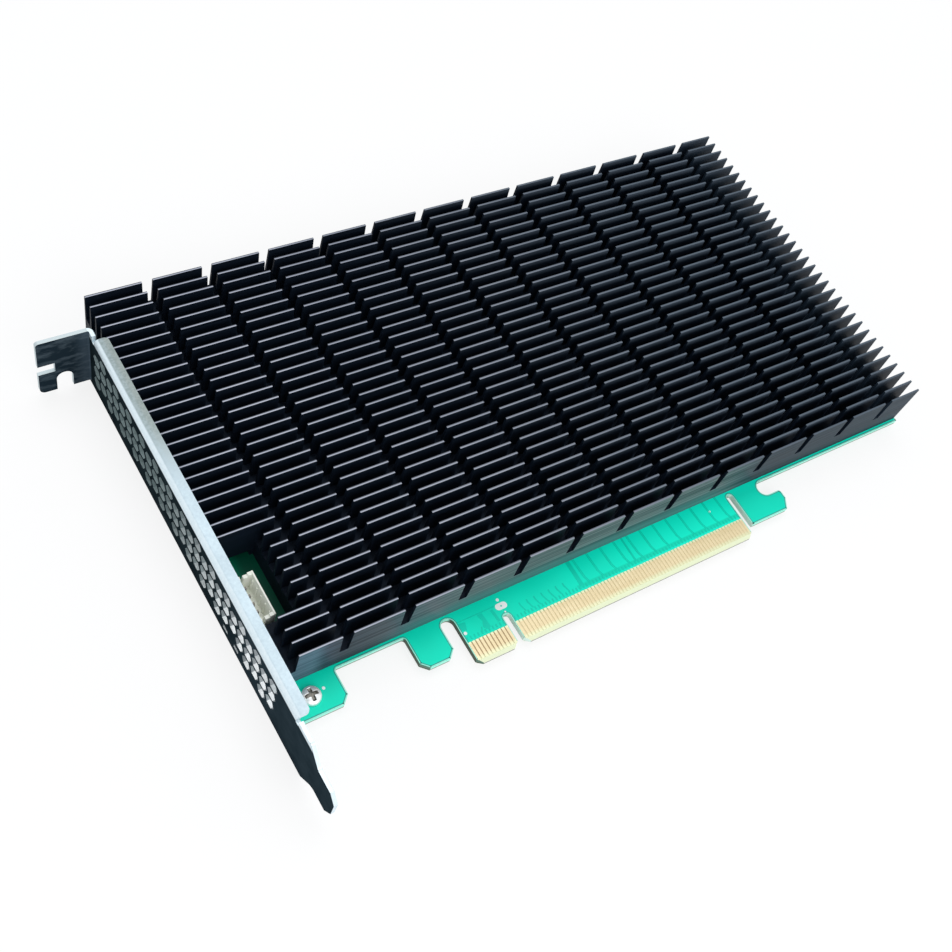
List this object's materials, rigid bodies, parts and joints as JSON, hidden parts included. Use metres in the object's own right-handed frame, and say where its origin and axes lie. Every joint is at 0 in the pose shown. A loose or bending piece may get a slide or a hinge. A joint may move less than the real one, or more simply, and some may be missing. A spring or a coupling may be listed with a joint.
{
  "type": "nvme adapter card",
  "caption": "Expansion card that carries flat solid-state drives under a cross-cut black pin-fin heatsink, with a vented folded bracket and an edge connector.",
  "frame": {"origin": "on the edge connector's insertion edge, at the middle of its keying notch, level with the board's component face", "axes": "+X along the card from the bracket to its far end, +Y from the edge connector to the back edge, +Z out of the component face towards the fins"},
  "size_m": [0.2085, 0.1312, 0.0185],
  "materials": {
    "board": "satin solder mask over glass-epoxy laminate",
    "gold": "hard gold plate",
    "bracket_steel": "bright plated steel",
    "screw_steel": "bright plated steel",
    "black_aluminium": "black anodised",
    "white_plastic": "moulded nylon",
    "pin_metal": "tin plate",
    "capacitor_body": "fired ceramic",
    "chip_body": "moulded epoxy",
    "inductor_body": "pressed ferrite",
    "socket_plastic": "moulded nylon",
    "brass": "turned",
    "pad_rubber": "soft silicone"
  },
  "bodies": {
    "root": {"pcb": "board", "edge_contacts_upper": "gold", "edge_contacts_lower": "gold", "bracket": "bracket_steel", "bracket_screws": "screw_steel", "heatsink": "black_aluminium", "heatsink_screws": "screw_steel", "fan_header_shroud": "white_plastic", "fan_header_pins": "pin_metal", "ceramic_capacitors": "capacitor_body", "clock_chip": "chip_body", "regulator_chip_1": "chip_body", "regulator_chip_2": "chip_body", "power_inductor_1": "inductor_body", "power_inductor_2": "inductor_body", "drive_socket_1": "socket_plastic", "drive_standoff_1": "brass", "drive_screw_1": "screw_steel", "thermal_pad_1": "pad_rubber", "drive_socket_2": "socket_plastic", "drive_standoff_2": "brass", "drive_screw_2": "screw_steel", "thermal_pad_2": "pad_rubber", "drive_socket_3": "socket_plastic", "drive_standoff_3": "brass", "drive_screw_3": "screw_steel", "thermal_pad_3": "pad_rubber", "drive_socket_4": "socket_plastic", "drive_standoff_4": "brass", "drive_screw_4": "screw_steel", "thermal_pad_4": "pad_rubber"}
  },
  "joints": []
}
